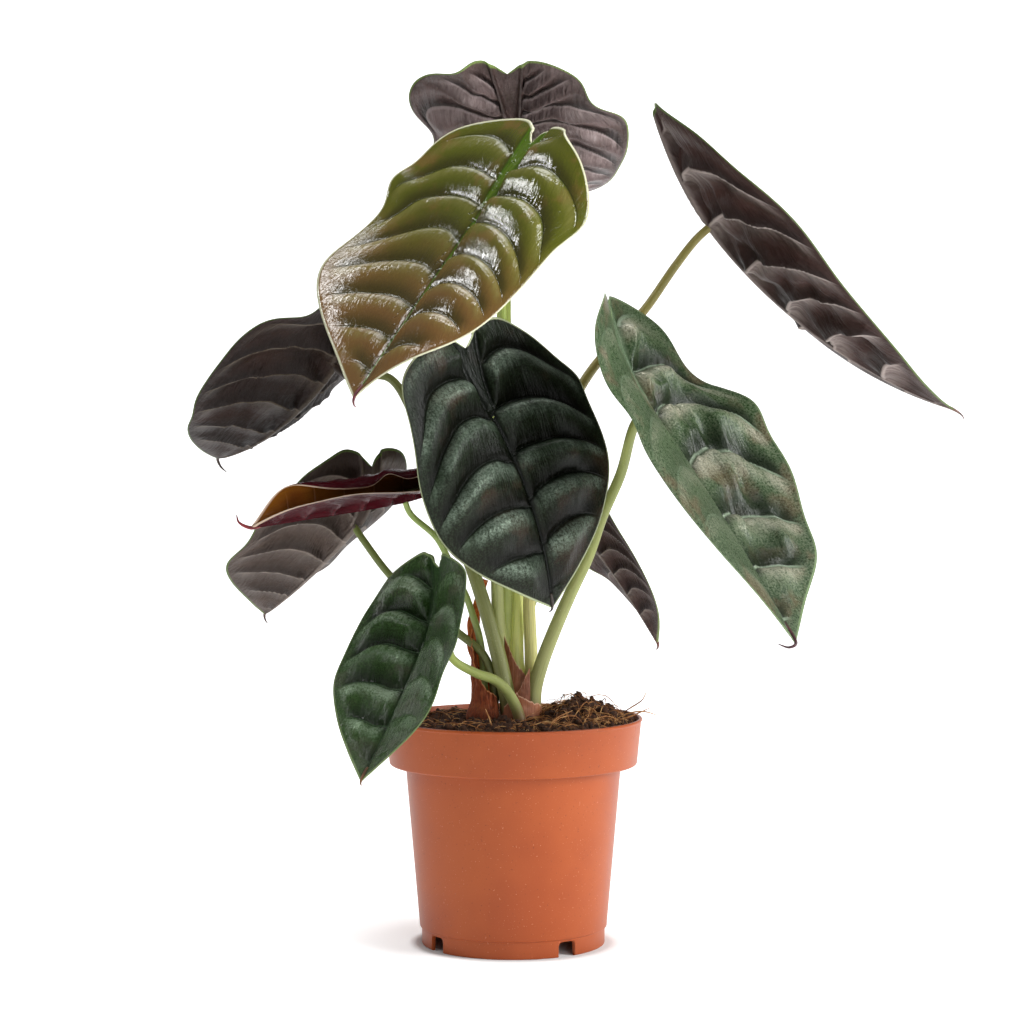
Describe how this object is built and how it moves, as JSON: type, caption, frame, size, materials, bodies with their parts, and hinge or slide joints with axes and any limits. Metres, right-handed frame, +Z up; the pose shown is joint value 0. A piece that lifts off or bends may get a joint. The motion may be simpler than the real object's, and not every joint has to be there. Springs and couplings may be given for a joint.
{
  "type": "potted alocasia house plant",
  "caption": "House plant with quilted dark shield-shaped leaves on pale stalks, in a round plastic nursery pot filled with peat.",
  "frame": {"origin": "middle of the whole plant's bounding box, on the floor under the pot's foot", "axes": "+Z up the plant, -Y toward the side the picture shows, +X to that view's right"},
  "size_m": [0.369, 0.283, 0.4133],
  "materials": {
    "pot_plastic": "satin moulded terracotta-coloured plastic",
    "peat": "rough dark peat with coir fibres",
    "blade_underside_dark": "leaf, dull aubergine below with grey ribs, dark green above",
    "blade_underside_mauve": "leaf, mauve-grey satin below, dark green above",
    "blade_green": "leaf, dark green with a dull bronze and silver sheen above",
    "blade_dark": "leaf, green-black with a bronze sheen above",
    "blade_copper": "young leaf, wet-looking gloss, olive to copper brown above",
    "blade_burgundy": "unrolling leaf, glossy burgundy and orange brown",
    "stalk_green": "smooth fleshy pale green",
    "sheath_dry": "papery dry red brown",
    "sheath_fleshy": "thin fleshy pinkish brown"
  },
  "bodies": {
    "root": {"pot": "pot_plastic", "soil": "peat", "leaf_upper_left": "blade_underside_dark", "stalk_upper_left": "stalk_green", "leaf_mid_right": "blade_green", "stalk_mid_right": "stalk_green", "leaf_low_front": "blade_green", "stalk_low_front": "stalk_green", "leaf_centre": "blade_dark", "stalk_centre": "stalk_green", "leaf_high_right": "blade_underside_dark", "stalk_high_right": "stalk_green", "leaf_top_back": "blade_underside_mauve", "stalk_top_back": "stalk_green", "leaf_top_front": "blade_copper", "stalk_top_front": "stalk_green", "leaf_small_right": "blade_underside_dark", "stalk_small_right": "stalk_green", "leaf_mid_left": "blade_underside_mauve", "stalk_mid_left": "stalk_green", "leaf_young_left": "blade_burgundy", "stalk_young_left": "stalk_green", "stump_left": "sheath_dry", "sheath_dry_strip": "sheath_dry", "sheath_dry_left": "sheath_dry", "sheath_collar_right": "sheath_fleshy", "sheath_wing_right": "sheath_fleshy", "sheath_fleshy_right": "sheath_fleshy"}
  },
  "joints": []
}
